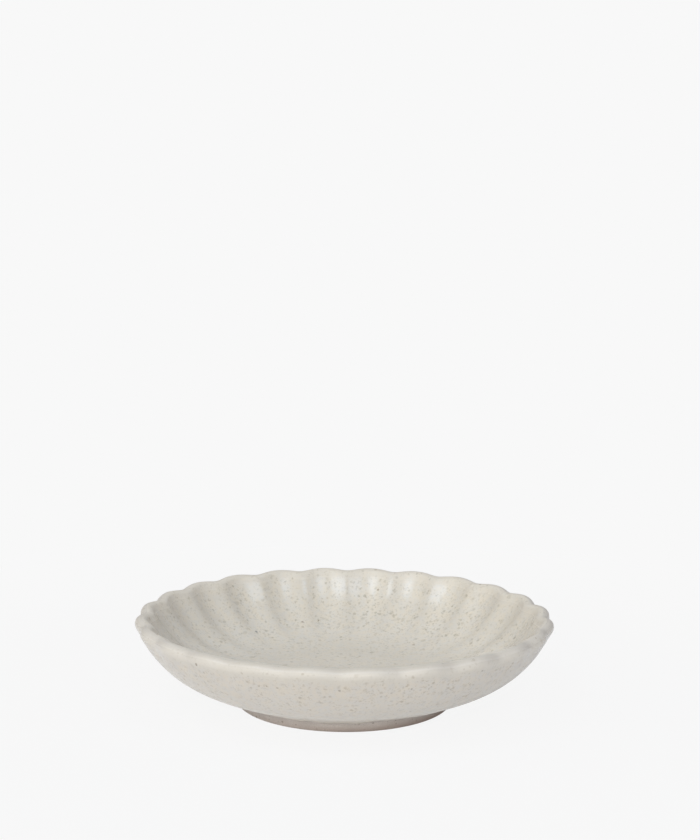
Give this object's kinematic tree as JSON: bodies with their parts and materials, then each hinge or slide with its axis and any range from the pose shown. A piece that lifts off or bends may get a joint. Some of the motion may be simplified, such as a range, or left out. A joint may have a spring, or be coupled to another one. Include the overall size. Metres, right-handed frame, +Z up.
{
  "type": "soy sauce dish",
  "caption": "Shallow round dish with radial flutes inside and a softly lobed rim, standing on a low bare foot ring, for dipping sauce at the table.",
  "frame": {"origin": "on the table under the middle of the dish", "axes": "+Z up along the axis of the dish; a ridge between two flutes lies on each of +X, -X, +Y and -Y"},
  "size_m": [0.0992, 0.0992, 0.0214],
  "materials": {
    "bare_clay": "matte",
    "liner_glaze": "satin",
    "outer_glaze": "satin"
  },
  "bodies": {
    "root": {"bowl_body": "bare_clay", "foot_ring": "bare_clay", "liner_glaze": "liner_glaze", "outer_glaze": "outer_glaze"}
  },
  "joints": []
}
